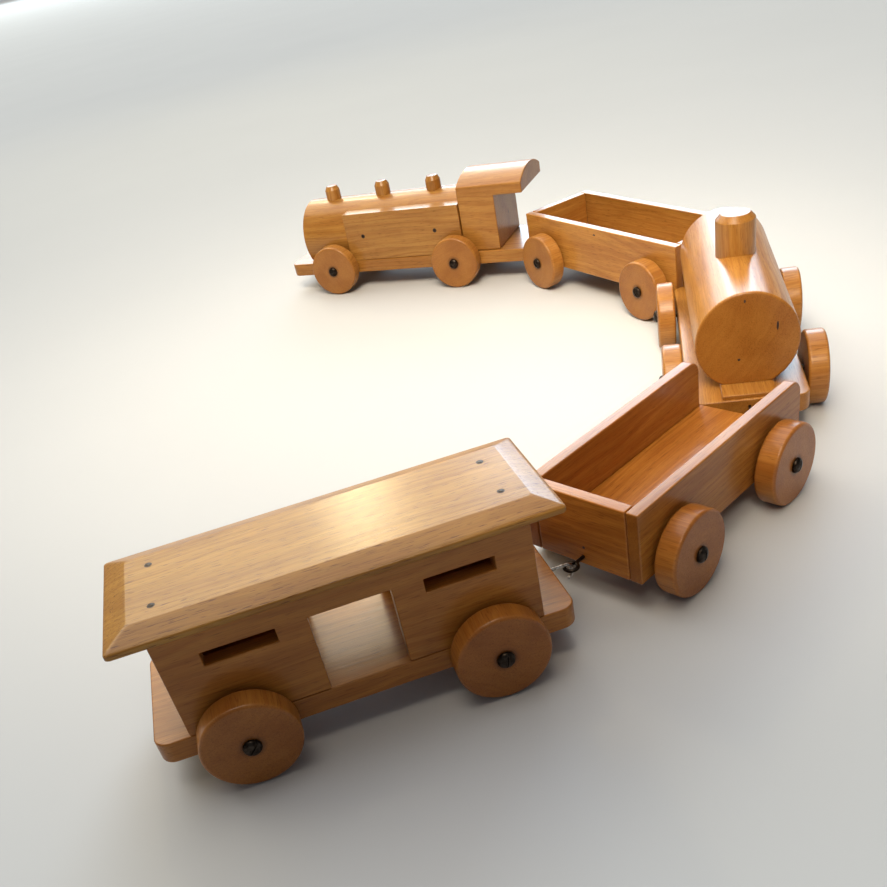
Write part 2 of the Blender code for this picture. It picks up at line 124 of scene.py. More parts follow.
class Vehicle:
    """A vehicle's name, body and place in the train."""

    def __init__(self, name):
        self.name = name
        self.body = BODIES[name]
        self.tint = TONE_AND_SHADE_TINTS.get(name, (1.0, 1.0, 1.0))
        front, rear = (self.axle_centre(end) for end in ("front", "rear"))
        forward = (front - rear).normalized()
        ahead = LOCO_FRONT_AXLE_X if name == "loco" else (front - rear).length / 2
        origin = front - forward * ahead
        left = Vector((0, 0, 1)).cross(forward)
        self.matrix = Matrix.Translation((origin.x, origin.y, 0)) @ Matrix(
            (forward, left, (0, 0, 1))).transposed().to_4x4()
        self.inverse = self.matrix.inverted()

    def axle_centre(self, end):
        left, right = (Vector(JOINTS[f"{self.name}_wheel_{end}_{side}_spin"]["pos_m"])
                       for side in ("left", "right"))
        return (left + right) / 2

    def box(self, part):
        """Lowest and highest corner of one of this vehicle's CAD nodes, in its own frame."""
        points = [self.inverse @ vert.co
                  for vert in frame["nodes"][f"{self.name}_{part}"].data.vertices]
        return tuple(Vector([pick(point[axis] for point in points) for axis in range(3)])
                     for pick in (min, max))

    def coupling(self, follower):
        """The coupling's hinge point in this vehicle's frame."""
        return self.inverse @ Vector(JOINTS[f"{follower}_coupling"]["pos_m"])


# ---------------------------------------------------------------- materials

class Nodes:
    """A material's node tree, with short calls for the nodes that the finishes use."""

    def __init__(self, name):
        self.material = bpy.data.materials.new(name)
        self.material.use_nodes = True
        self.tree = self.material.node_tree
        self.shader = self.tree.nodes["Principled BSDF"]

    def link(self, value, socket):
        if isinstance(value, bpy.types.NodeSocket):
            self.tree.links.new(value, socket)
        else:
            socket.default_value = value

    def attribute(self, name, output):
        node = self.tree.nodes.new("ShaderNodeAttribute")
        node.attribute_name = name
        return node.outputs[output]

    def math(self, operation, first, second=0.0, clamp=False):
        node = self.tree.nodes.new("ShaderNodeMath")
        node.operation = operation
        node.use_clamp = clamp
        self.link(first, node.inputs[0])
        self.link(second, node.inputs[1])
        return node.outputs[0]

    def stretch(self, vector, scale):
        node = self.tree.nodes.new("ShaderNodeVectorMath")
        node.operation = "MULTIPLY"
        self.link(vector, node.inputs[0])
        node.inputs[1].default_value = scale
        return node.outputs[0]

    def noise(self, place, detail=2.0, roughness=0.5, dimensions="3D"):
        """Noise over a vector, or along a single distance where `dimensions` is 1D."""
        node = self.tree.nodes.new("ShaderNodeTexNoise")
        node.noise_dimensions = dimensions
        node.inputs["Scale"].default_value = 1.0
        node.inputs["Detail"].default_value = detail
        node.inputs["Roughness"].default_value = roughness
        self.link(place, node.inputs["W" if dimensions == "1D" else "Vector"])
        return node.outputs["Fac"]

    def between(self, value, low, high):
        """0 below `low`, 1 above `high`, smooth between them."""
        node = self.tree.nodes.new("ShaderNodeMapRange")
        node.interpolation_type = "SMOOTHSTEP"
        self.link(value, node.inputs["Value"])
        node.inputs["From Min"].default_value = low
        node.inputs["From Max"].default_value = high
        return node.outputs["Result"]

    def mix(self, amount, first, second, blend="MIX"):
        node = self.tree.nodes.new("ShaderNodeMix")
        node.data_type = "RGBA"
        node.blend_type = blend
        self.link(amount, node.inputs[0])
        self.link(first, node.inputs[6])        # the colour sockets share their names with
        self.link(second, node.inputs[7])       # the float ones, so they go by number
        return node.outputs[2]

    def times(self, colour, factor):
        return self.mix(1.0, colour, factor, "MULTIPLY")

    def bump(self, height, strength, distance):
        node = self.tree.nodes.new("ShaderNodeBump")
        node.inputs["Strength"].default_value = strength
        node.inputs["Distance"].default_value = distance
        self.link(height, node.inputs["Height"])
        return node.outputs["Normal"]

    def constants(self, **values):
        for socket, value in values.items():
            self.shader.inputs[socket.replace("_", " ")].default_value = value


def grey(level):
    return (level, level, level, 1.0)


def make_wood(name, early, late, end_grain, coat_roughness):
    """Varnished beech as a solid texture: growth rings, fibres, dark flecks and a worn coat.

    It reads the attributes that add_grain writes. "grain" is a point's place in the tree, with
    the trunk along X. "end" is 1 where the surface cuts across the fibres. "tone" differs from
    piece to piece and carries its vehicle's tint, which for the box car is partly painted shade
    and for its roof painted warm light. "figure" is the strength of the flecks, and "grime" is
    painted shade: 1 where a wheel's face is painted dark round its screw head.
    """
    n = Nodes(name)
    grain = n.attribute("grain", "Vector")
    end = n.attribute("end", "Fac")
    place = n.tree.nodes.new("ShaderNodeSeparateXYZ")
    n.link(grain, place.inputs[0])

    wander = n.noise(n.stretch(grain, (7.0, 22.0, 22.0)))
    wander = n.math("MULTIPLY", n.math("SUBTRACT", wander, 0.5), 26 * MM)
    across = n.math("SQRT", n.math("ADD", n.math("POWER", place.outputs["Y"], 2.0),
                                   n.math("POWER", place.outputs["Z"], 2.0)))
    ring_place = n.math("MULTIPLY", n.math("ADD", across, wander), 330.0)
    ring_noise = n.noise(ring_place, detail=3.0, roughness=0.62, dimensions="1D")
    rings = n.between(ring_noise, 0.28, 0.74)

    fibres = n.noise(n.stretch(grain, (32.0, 1000.0, 1000.0)), detail=4.0, roughness=0.62)
    fleck_field = n.noise(n.stretch(grain, (120.0, 1700.0, 1700.0)), detail=1.0)
    flecks = n.math("MULTIPLY", n.between(fleck_field, 0.60, 0.70), n.attribute("figure", "Fac"))
    patches = n.noise(n.stretch(grain, (16.0, 48.0, 48.0)), detail=3.0)

    ring_strength = n.math("SUBTRACT", 1.0, n.math("MULTIPLY", end, 0.65))
    colour = n.mix(n.math("MULTIPLY", rings, ring_strength), early, late)
    colour = n.mix(n.between(fibres, 0.3, 0.72), n.times(colour, grey(1.07)),
                   n.times(colour, grey(0.86)))
    colour = n.mix(n.math("MULTIPLY", flecks, 0.5, clamp=True), colour,
                   n.times(colour, (0.42, 0.33, 0.27, 1.0)))
    colour = n.mix(n.between(patches, 0.35, 0.7), colour,
                   n.times(colour, (0.82, 0.75, 0.68, 1.0)))
    colour = n.mix(n.between(end, 0.35, 0.9), colour, n.times(colour, end_grain))
    # painted shade: the wood turns a near-black brown where the shade round a screw head is
    # painted
    colour = n.mix(n.attribute("grime", "Fac"), colour, (0.035, 0.017, 0.009, 1.0))
    colour = n.times(colour, n.attribute("tone", "Color"))
    n.link(colour, n.shader.inputs["Base Color"])

    rough = n.math("ADD", n.math("MULTIPLY", fibres, 0.25), 0.30)
    n.link(rough, n.shader.inputs["Roughness"])
    relief = n.math("ADD", fibres, n.math("MULTIPLY", rings, 0.6))
    relief = n.math("SUBTRACT", relief, n.math("MULTIPLY", flecks, 0.5))
    n.link(n.bump(relief, 0.35, 0.12 * MM), n.shader.inputs["Normal"])
    waves = n.noise(n.stretch(grain, (70.0, 150.0, 150.0)))
    film = n.math("ADD", n.math("MULTIPLY", waves, 1.6), n.math("MULTIPLY", relief, 0.22))
    n.link(n.bump(film, 0.32, 0.12 * MM), n.shader.inputs["Coat Normal"])
    n.constants(Specular_IOR_Level=0.12, Coat_Weight=0.5, Coat_Roughness=coat_roughness,
                Coat_IOR=1.5)
    return n.material


def make_steel(name, bright, dark, roughness):
    """Steel with a mottled brown film and fine scratches."""
    n = Nodes(name)
    place = n.tree.nodes.new("ShaderNodeTexCoord").outputs["Object"]
    tint = n.noise(n.stretch(place, (420.0,) * 3), detail=4.0, roughness=0.65)
    scratches = n.noise(n.stretch(place, (300.0, 300.0, 4200.0)))
    n.link(n.mix(n.between(tint, 0.35, 0.65), bright, dark), n.shader.inputs["Base Color"])
    n.link(n.math("ADD", n.math("MULTIPLY", tint, 0.3), roughness), n.shader.inputs["Roughness"])
    n.link(n.bump(n.math("ADD", tint, scratches), 0.2, 0.05 * MM), n.shader.inputs["Normal"])
    n.constants(Metallic=1.0)
    return n.material


def make_dark_mark():
    """The dark of a knot, and the painted shade inside a crack, slit or nail hole."""
    n = Nodes("dark_mark")
    place = n.tree.nodes.new("ShaderNodeTexCoord").outputs["Object"]
    spots = n.noise(n.stretch(place, (900.0,) * 3))
    n.link(n.mix(spots, (0.012, 0.006, 0.003, 1.0), (0.06, 0.025, 0.01, 1.0)),
           n.shader.inputs["Base Color"])
    n.constants(Roughness=0.6)
    return n.material


BEECH = make_wood("varnished_beech", early=(0.45, 0.212, 0.044, 1.0),
                  late=(0.365, 0.153, 0.028, 1.0), end_grain=(0.78, 0.70, 0.60, 1.0),
                  coat_roughness=0.21)
WHEEL_BEECH = make_wood("varnished_wheel_beech", early=(0.45, 0.206, 0.045, 1.0),
                        late=(0.37, 0.150, 0.028, 1.0), end_grain=(0.80, 0.72, 0.64, 1.0),
                        coat_roughness=0.24)
BROWNED_STEEL = make_steel("browned_steel", bright=(0.055, 0.044, 0.036, 1.0),
                           dark=(0.02, 0.013, 0.009, 1.0), roughness=0.22)
WIRE_STEEL = make_steel("wire_steel", bright=(0.62, 0.60, 0.57, 1.0),
                        dark=(0.22, 0.17, 0.13, 1.0), roughness=0.18)
DARK_MARK = make_dark_mark()


# ---------------------------------------------------------------- mesh helpers

def mesh_of(name, bm):
    """A mesh with outward normals made from a bmesh, which is freed."""
    bmesh.ops.recalc_face_normals(bm, faces=bm.faces)
    mesh = bpy.data.meshes.new(name)
    bm.to_mesh(mesh)
    bm.free()
    return mesh


def linked(name, data):
    """A new object in the scene."""
    obj = bpy.data.objects.new(name, data)
    bpy.context.scene.collection.objects.link(obj)
    return obj


def block(low, high, radius=0.0, is_rounded=None, steps=10):
    """A box between two corners. The edges that `is_rounded` picks get the given radius."""
    size = high - low
    bm = bmesh.new()
    bmesh.ops.create_cube(bm, size=1.0, matrix=Matrix.Translation((low + high) / 2)
                          @ Matrix.Diagonal((*size, 1.0)))
    if is_rounded:
        edges = [edge for edge in bm.edges if is_rounded(*(vert.co for vert in edge.verts))]
        bmesh.ops.bevel(bm, geom=edges, offset=radius, segments=steps, profile=0.5,
                        affect="EDGES")
    return mesh_of("block", bm)


def turned(profile, steps=ROUND_STEPS):
    """A solid turned about Z from (radius, height) points that start and end on the axis."""
    bm = bmesh.new()
    points = [bm.verts.new((radius, 0, height)) for radius, height in profile]
    for first, second in zip(points, points[1:]):
        bm.edges.new((first, second))
    bmesh.ops.spin(bm, geom=bm.verts[:] + bm.edges[:], cent=(0, 0, 0), axis=(0, 0, 1),
                   angle=math.tau, steps=steps, use_merge=True)
    bmesh.ops.remove_doubles(bm, verts=bm.verts, dist=0.001 * MM)
    return mesh_of("turned", bm)


def corner_arc(radius, top, rounding, steps=6):
    """Profile points of a rounded outer edge, from the top face round to the side."""
    return [(radius - rounding + rounding * math.sin(angle),
             top - rounding + rounding * math.cos(angle))
            for angle in (math.pi / 2 * step / steps for step in range(steps + 1))]


def rod(radius, bottom, top, rounding, steps=ROUND_STEPS):
    """A cylinder along Z, both of its ends rounded."""
    upper = corner_arc(radius, top, rounding)
    lower = [(r, bottom + top - z) for r, z in reversed(corner_arc(radius, top, rounding))]
    return turned([(0, top)] + upper + lower + [(0, bottom)], steps)


TURN_TO = {"X": Matrix.Rotation(math.pi / 2, 4, "Y"), "-X": Matrix.Rotation(-math.pi / 2, 4, "Y"),
           "Y": Matrix.Rotation(-math.pi / 2, 4, "X"), "-Y": Matrix.Rotation(math.pi / 2, 4, "X"),
           "Z": Matrix.Identity(4)}


def placed(mesh, axis="Z", location=(0, 0, 0)):
    """The mesh with its Z axis turned to `axis`, moved to `location`."""
    mesh.transform(Matrix.Translation(location) @ TURN_TO[axis])
    return mesh


def shaped(mesh, cutters=(), edge=0.0, steps=3):
    """The mesh after its cuts, with its sharp edges rounded and its flat faces shaded flat."""
    mesh.shade_smooth()
    obj = linked("shaping", mesh)
    tools = []
    for cutter in cutters:
        cutter.shade_smooth()
        tools.append(linked("tool", cutter))
        cut = obj.modifiers.new("cut", "BOOLEAN")
        cut.operation = "DIFFERENCE"
        cut.object = tools[-1]
        cut.solver = "EXACT"
    if edge:
        bevel = obj.modifiers.new("edges", "BEVEL")
        bevel.width = edge
        bevel.segments = steps
        bevel.limit_method = "ANGLE"
        bevel.angle_limit = math.radians(40)
    weighted = obj.modifiers.new("normals", "WEIGHTED_NORMAL")
    weighted.keep_sharp = True
    graph = bpy.context.evaluated_depsgraph_get()
    result = bpy.data.meshes.new_from_object(obj.evaluated_get(graph))
    for used in [obj] + tools:
        bpy.data.objects.remove(used)
    return result


def tube(points, radius, sides=5):
    """A wire with closed ends along a list of points."""
    curve = bpy.data.curves.new("wire", "CURVE")
    curve.dimensions = "3D"
    curve.bevel_depth = radius
    curve.bevel_resolution = sides
    curve.use_fill_caps = True
    spline = curve.splines.new("POLY")
    spline.points.add(len(points) - 1)
    for point, place in zip(spline.points, points):
        point.co = (*place, 1)
    obj = linked("wire", curve)
    graph = bpy.context.evaluated_depsgraph_get()
    bm = bmesh.new()
    bm.from_mesh(bpy.data.meshes.new_from_object(obj.evaluated_get(graph)))
    bmesh.ops.remove_doubles(bm, verts=bm.verts, dist=0.001 * MM)
    bpy.data.objects.remove(obj)
    mesh = mesh_of("wire", bm)
    mesh.shade_smooth()
    mesh.set_sharp_from_angle(angle=math.radians(50))
    return mesh


# ---------------------------------------------------------------- finished pieces

def add_grain(mesh, name, tint, axis, grime=None, figure=1.0):
    """Writes the attributes that the wood materials read, with the fibres along `axis`.

    Each piece comes from a place in a tree of its own, which only its name decides.
    `grime`, if given, gives how much shade is painted at each point.
    """
    rng = random.Random(name)
    fibre_axis = "XYZ".index(axis)
    axes = (fibre_axis, (fibre_axis + 1) % 3, (fibre_axis + 2) % 3)
    pith = Vector((rng.uniform(-1.5, 1.5), rng.choice((-1, 1)) * rng.uniform(0.02, 0.10),
                   rng.choice((-1, 1)) * rng.uniform(0.03, 0.09)))
    level = rng.uniform(0.92, 1.07)
    warmth = rng.uniform(-0.03, 0.03)
    # the vehicle's tint, which for the box car partly paints shade and for its roof paints warm
    # light, times a random tone for the piece
    tone = (level * (1 + warmth) * tint[0], level * tint[1],
            level * (1 - 1.5 * warmth) * tint[2], 1.0)
    middle = sum((vert.co for vert in mesh.vertices), Vector()) / len(mesh.vertices)
    values = {"grain": [], "end": [], "grime": [], "tone": [],
              "figure": [figure] * len(mesh.vertices)}
    for vert in mesh.vertices:
        place = vert.co - middle
        values["grain"] += [place[old] + pith[new] for new, old in enumerate(axes)]
        values["end"].append(abs(mesh.vertex_normals[vert.index].vector[fibre_axis]))
        values["grime"].append(grime(vert.co) if grime else 0.0)
        values["tone"] += tone
    for layer, kind, field in (("grain", "FLOAT_VECTOR", "vector"), ("end", "FLOAT", "value"),
                               ("grime", "FLOAT", "value"), ("tone", "FLOAT_COLOR", "color"),
                               ("figure", "FLOAT", "value")):
        mesh.attributes.new(layer, kind, "POINT").data.foreach_set(field, values[layer])


def add_piece(vehicle, name, mesh, material, body=None, stands_for=()):
    """Places a mesh made in its vehicle's frame and ties it to its body."""
    mesh.transform(vehicle.matrix)
    mesh.materials.clear()
    mesh.materials.append(material)
    piece = linked(f"{vehicle.name}_{name}", mesh)
    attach(piece, body or vehicle.body)
    nodes = [f"{vehicle.name}_{node}" for node in stands_for]
    if nodes:
        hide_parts(*nodes)


def add_wood(vehicle, name, mesh, stands_for=(), grain="X", figure=1.0, tint=None):
    add_grain(mesh, f"{vehicle.name}_{name}", tint or vehicle.tint, grain, figure=figure)
    add_piece(vehicle, name, mesh, BEECH, stands_for=stands_for)


def add_board(vehicle, part, grain="X"):
    """A plain sanded board in the place of a box-shaped CAD node."""
    add_wood(vehicle, f"{part}_board", shaped(block(*vehicle.box(part)), edge=EDGE), (part,),
             grain)


def add_spot(vehicle, name, location, axis, radii, proud=MARK_PROUD, material=DARK_MARK):
    """A low oval dome on a surface: the dark of a knot, painted shade inside a crack, slit or
    hole, or a nail's head.
    """
    dome = turned([(0, 1), (0.5, 0.87), (0.85, 0.5), (1, 0.1), (1, -1), (0, -1)], 24)
    dome.transform(Matrix.Diagonal((radii[0], radii[1], proud, 1.0)))
    dome.shade_smooth()
    add_piece(vehicle, name, placed(dome, axis, location), material)


def add_nail(vehicle, name, location, axis):
    """A nail punched in a little: its small bright head in a dark disc of painted shade for its
    hole.
    """
    add_spot(vehicle, f"{name}_hole", location, axis, (NAIL_HOLE_RADIUS,) * 2, 0.06 * MM)
    add_spot(vehicle, name, location, axis, (NAIL_RADIUS,) * 2, 0.22 * MM, BROWNED_STEEL)


# ---------------------------------------------------------------- running gear and couplings

def wheel_mesh(radius, half_width):
    """A wheel turned about Z, with a short countersunk bore in each of its faces."""
    bore = SCREW_SHANK + 0.4 * MM
    bore_end = half_width - BORE_DEPTH
    half = [(0, bore_end), (bore, bore_end), (bore, half_width - 0.9 * MM),
            (bore + 0.5 * MM, half_width - 0.25 * MM), (5.2 * MM, half_width),
            (7.5 * MM, half_width)]
    half += corner_arc(radius, half_width, WHEEL_ROUNDING)
    return turned(half + [(r, -z) for r, z in reversed(half)])


def add_wheel(vehicle, end, side):
    node = f"wheel_{end}_{side}"
    low, high = vehicle.box(node)
    middle = (low + high) / 2
    radius = (high.z - low.z) / 2
    half_width = (high.y - low.y) / 2
    mesh = wheel_mesh(radius, half_width)
    mesh.transform(Matrix.Rotation(random.Random(f"{vehicle.name}_{node}").uniform(0, 6), 4, "Z"))
    mesh = shaped(placed(mesh, "Y" if side == "left" else "-Y", middle))

    # painted shade: the wheel's face is painted dark under its screw head and just round its rim
    def grime(point):
        full, gone = SHADE_REACH
        off_axle = math.hypot(point.x - middle.x, point.z - middle.z)
        return max(0.0, min(1.0, (gone - off_axle) / (gone - full))) * 0.6

    add_grain(mesh, f"{vehicle.name}_{node}", vehicle.tint, "Y", grime)
    add_piece(vehicle, f"{node}_turned", mesh, WHEEL_BEECH,
              body=f"{vehicle.name}_{node}", stands_for=(node,))


def add_screws(vehicle, end):
    """The two round-headed screws whose shanks are an axle, each with its slot."""
    low, high = vehicle.box(f"axle_{end}")
    radius = (high.z - low.z) / 2
    wheel_face = vehicle.box(f"wheel_{end}_left")[1].y
    rise = high.y - wheel_face - SCREW_GAP
    shank_end = 1 * MM - wheel_face
    for side, axis, sign in (("left", "Y", 1), ("right", "-Y", -1)):
        dome = [(radius * math.sin(angle), rise * math.cos(angle) ** 0.8)
                for angle in (math.radians(9 * step) for step in range(10))]
        profile = dome + [(radius, -0.1 * MM), (SCREW_SHANK, -0.1 * MM),
                          (SCREW_SHANK, shank_end), (0, shank_end)]
        slot = block(Vector((-2 * radius, -0.5 * MM, rise - 1.0 * MM)),
                     Vector((2 * radius, 0.5 * MM, 2 * rise)))
        turn = random.Random(f"{vehicle.name}{end}{side}").uniform(0, math.pi)
        slot.transform(Matrix.Rotation(turn, 4, "Z"))
        screw = shaped(turned(profile, 48), cutters=[slot], edge=0.12 * MM, steps=2)
        seat = Vector(((low.x + high.x) / 2, sign * (wheel_face + SCREW_GAP),
                       (low.z + high.z) / 2))
        add_piece(vehicle, f"screw_{end}_{side}", placed(screw, axis, seat), BROWNED_STEEL,
                  stands_for=(f"axle_{end}",))


def add_running_gear(vehicle):
    for end in ("front", "rear"):
        add_screws(vehicle, end)
        for side in ("left", "right"):
            add_wheel(vehicle, end, side)


def add_eye(vehicle, follower):
    """A screw eye: a ring of wire lying flat, not quite closed, on a short shank."""
    ring = vehicle.coupling(follower)
    wood_end = vehicle.box("eye")[1].x
    start = math.radians(EYE_GAP_ANGLE)
    sweep = math.tau - 2 * start
    loop = [ring + EYE_RING_RADIUS * Vector((math.cos(angle), math.sin(angle), 0))
            for angle in (start + sweep * step / 40 for step in range(41))]
    shank = tube([Vector((ring.x + EYE_RING_RADIUS - 0.3 * MM, 0, ring.z)),
                  Vector((wood_end - 1 * MM, 0, ring.z))], WIRE_RADIUS * 0.98)
    bm = bmesh.new()
    for part in (tube(loop, WIRE_RADIUS), shank):
        bm.from_mesh(part)
    mesh = mesh_of("eye", bm)
    mesh.shade_smooth()
    add_piece(vehicle, "screw_eye", mesh, BROWNED_STEEL, stands_for=("eye",))


def add_hook(vehicle):
    """A wire hook that drops through the leading vehicle's eye."""
    eye = vehicle.coupling(vehicle.name)
    low, high = vehicle.box("hook")
    top = high.z - WIRE_RADIUS
    bottom = low.z + WIRE_RADIUS
    bend_x = eye.x - HOOK_BEND
    quarter = [math.pi / 2 * step / 8 for step in range(9)]
    points = [Vector((low.x + 1 * MM, 0, top)), Vector((bend_x, 0, top))]
    points += [Vector((bend_x + HOOK_BEND * math.sin(angle), 0,
                       top - HOOK_BEND + HOOK_BEND * math.cos(angle))) for angle in quarter[1:]]
    points += [Vector((bend_x + HOOK_BEND * math.cos(angle), 0,
                       bottom + HOOK_BEND - HOOK_BEND * math.sin(angle))) for angle in quarter]
    add_piece(vehicle, "wire_hook", tube(points, WIRE_RADIUS * 0.99), WIRE_STEEL,
              stands_for=("hook",))


# ---------------------------------------------------------------- wooden parts

def is_upright(first, second):
    """Whether an edge of a block, given by its two ends, stands upright."""
    return abs(first.z - second.z) > MM


def add_plank(vehicle, low, high):
    mesh = shaped(block(low, high, PLANK_CORNER, is_upright), edge=EDGE)
    add_wood(vehicle, "base_plank", mesh, ("base",))


def add_log(vehicle, part, radius, centre_z, rounding):
    """A turned log along X, planed flat underneath, in the place of a CAD node."""
    low, high = vehicle.box(part)
    length = high.x - low.x
    log = placed(rod(radius, -length / 2, length / 2, rounding), "X",
                 ((low.x + high.x) / 2, 0, centre_z))
    waste = block(Vector((low.x - THROUGH, -THROUGH, low.z - THROUGH)),
                  Vector((high.x + THROUGH, THROUGH, low.z)))
    add_wood(vehicle, f"{part}_log", shaped(log, cutters=[waste], edge=EDGE), (part,))


def add_peg(vehicle, name, radius, x, foot, top, inset, drop):
    """A short upright peg. Its chamfer comes in by `inset` and down by `drop`."""
    soft = 0.5 * MM
    profile = [(0, top), (radius - inset - soft, top), (radius - inset, top - soft * 0.4),
               (radius - soft * 0.4, top - drop), (radius, top - drop - soft),
               (radius, foot), (0, foot)]
    add_wood(vehicle, name, shaped(placed(turned(profile, 64), "Z", (x, 0, 0))), grain="Z")


def add_loco(vehicle):
    add_plank(vehicle, *vehicle.box("base"))
    _, high = vehicle.box("boiler")
    add_log(vehicle, "boiler", high.y, BOILER_Z, 2.4 * MM)
    for number, x in enumerate(CHIMNEYS_X, 1):
        add_peg(vehicle, f"chimney_{number}", CHIMNEY_RADIUS, x, BOILER_Z, high.z, 2.2 * MM,
                3.8 * MM)
    hollow_radius = high.y + TANK_CLEARANCE
    for side, axis in (("left", "Y"), ("right", "-Y")):
        part = f"side_tank_{side}"
        tank_low, tank_high = vehicle.box(part)
        hollow = placed(rod(hollow_radius, -0.2, 0.2, EDGE), "X", (0, 0, BOILER_Z))
        tank = shaped(block(tank_low, tank_high), cutters=[hollow], edge=EDGE)
        add_wood(vehicle, f"{part}_block", tank, (part,))
        face = tank_high.y if side == "left" else tank_low.y
        for number, x in enumerate(TANK_NAILS_X, 1):
            add_nail(vehicle, f"{part}_nail_{number}", (x, face, TANK_NAILS_Z), axis)
    add_cab(vehicle)


def add_cab(vehicle):
    """The cab block: an arched roof that runs on behind the backhead."""
    low, high = vehicle.box("cab")
    rise = high.z - CAB_EAVES_Z
    arch_radius = (high.y ** 2 + rise ** 2) / (2 * rise)
    half_angle = math.asin(high.y / arch_radius)
    bm = bmesh.new()
    outline = [(-high.y, low.z)]
    outline += [(arch_radius * math.sin(angle), high.z - arch_radius * (1 - math.cos(angle)))
                for angle in (half_angle * (2 * step / CAB_ARCH_STEPS - 1)
                              for step in range(CAB_ARCH_STEPS + 1))]
    outline += [(high.y, low.z)]
    face = bm.faces.new([bm.verts.new((low.x, y, z)) for y, z in outline])
    far_end = bmesh.ops.extrude_face_region(bm, geom=[face])["geom"]
    bmesh.ops.translate(bm, vec=(high.x - low.x, 0, 0),
                        verts=[part for part in far_end if isinstance(part, bmesh.types.BMVert)])
    notch = block(Vector((low.x - THROUGH, -THROUGH, -THROUGH)),
                  Vector((CAB_BACKHEAD_X, THROUGH, CAB_OVERHANG_Z)))
    add_wood(vehicle, "cab_block", shaped(mesh_of("cab", bm), cutters=[notch], edge=1.1 * MM),
             ("cab",))
    # painted shade: a dark spot stands for the inside of the slit in the backhead
    add_spot(vehicle, "backhead_slit", (CAB_BACKHEAD_X, -4.2 * MM, 55.2 * MM), "-X",
             (2.6 * MM, 0.45 * MM))


def add_bed(vehicle, ends, side_corner=0.0):
    """The open box of a wagon, its end boards set between its side boards.

    `side_corner` is the radius of the side boards' upper front corners.
    """
    add_board(vehicle, "floor")
    for end in ends:
        add_board(vehicle, f"end_{end}", grain="Y")
    for side in ("left", "right"):
        part = f"side_{side}"
        low, high = vehicle.box(part)
        is_rounded = None
        if side_corner:
            def is_rounded(first, second, low=low, high=high):
                return all(point.x > high.x - MM and point.z > high.z - MM
                           for point in (first, second))
        side_mesh = block(low, high, side_corner, is_rounded, steps=14)
        add_wood(vehicle, f"{part}_board", shaped(side_mesh, edge=EDGE), (part,))


def add_gondola(vehicle):
    add_bed(vehicle, ("front", "rear"))
    face = vehicle.box("side_left")[1].y
    add_spot(vehicle, "side_knot", (0.5 * MM, face, 57.8 * MM), "Y", (1.5 * MM, 0.8 * MM))


def add_open_wagon(vehicle):
    add_bed(vehicle, ("rear",), side_corner=OPEN_CORNER)
    end_x = vehicle.box("end_rear")[0].x
    # painted shade: a dark spot stands for the inside of a nail hole in the rear end board
    add_spot(vehicle, "nail_hole", (end_x, -0.8 * MM, 31.3 * MM), "-X", (0.9 * MM, 0.9 * MM))


def add_tanker(vehicle, plank_top):
    """The tank wagon. Its base node holds the plank and the strip that lies on it."""
    low, high = vehicle.box("base")
    add_plank(vehicle, low, Vector((high.x, high.y, plank_top)))
    half = SADDLE_WIDTH / 2
    strip = block(Vector((low.x + SADDLE_INSET, -half, plank_top - 1 * MM)),
                  Vector((high.x - SADDLE_INSET, half, high.z)))
    add_wood(vehicle, "saddle_strip", shaped(strip, edge=0.6 * MM), ("base",))
    add_log(vehicle, "barrel", BARREL_RADIUS, BARREL_Z, 1.6 * MM)
    barrel_low, barrel_high = vehicle.box("barrel")
    add_peg(vehicle, "dome_peg", DOME_RADIUS, DOME_X, BARREL_Z, barrel_high.z, 3.4 * MM,
            3.6 * MM)
    # painted shade: dark ovals stand for the insides of the cracks
    for number, (y, z, tall, wide) in enumerate(BARREL_CRACKS_MM, 1):
        add_spot(vehicle, f"barrel_crack_{number}", (barrel_low.x, y * MM, z * MM), "-X",
                 (tall * MM, wide * MM))


def add_box_car(vehicle):
    add_plank(vehicle, *vehicle.box("base"))
    for end in ("front", "rear"):
        add_board(vehicle, f"end_{end}", grain="Y")
    for side in ("left", "right"):
        part = f"side_{side}"
        low, high = vehicle.box(part)
        cutters = [block(Vector((-DOOR_HALF_WIDTH, -THROUGH, -THROUGH)),
                         Vector((DOOR_HALF_WIDTH, THROUGH, DOOR_TOP)))]
        for sign in (1, -1):
            near, far = sorted(sign * x for x in SLOT_X)
            cutters.append(block(Vector((near, -THROUGH, SLOT_BOTTOM)),
                                 Vector((far, THROUGH, DOOR_TOP))))
        board = shaped(block(low, high), cutters=cutters, edge=SLOT_EDGE)
        add_wood(vehicle, f"{part}_board", board, (part,))
    add_box_roof(vehicle)


def roof_sections(thickness):
    """How far in, and how high, the roof board's outline runs, from its underside to its top.

    An upright lip leads into a wide bevel, which follows a curve that flattens towards the top.
    """
    bevel_in, bevel_up = 0.35 * MM, ROOF_LIP + 0.15 * MM
    sections = [(0.5 * MM, 0.0), (0.0, 0.6 * MM), (0.0, ROOF_LIP - 0.7 * MM),
                (bevel_in, bevel_up)]
    rise = thickness - ROOF_LIP
    for step in range(1, 11):
        t = step / 10
        inset = 2 * t * (1 - t) * 0.80 * ROOF_BEVEL + t * t * ROOF_BEVEL
        height = 2 * t * (1 - t) * 0.88 * rise + t * t * rise
        sections.append((bevel_in + inset, bevel_up + height * 0.965))
    return sections


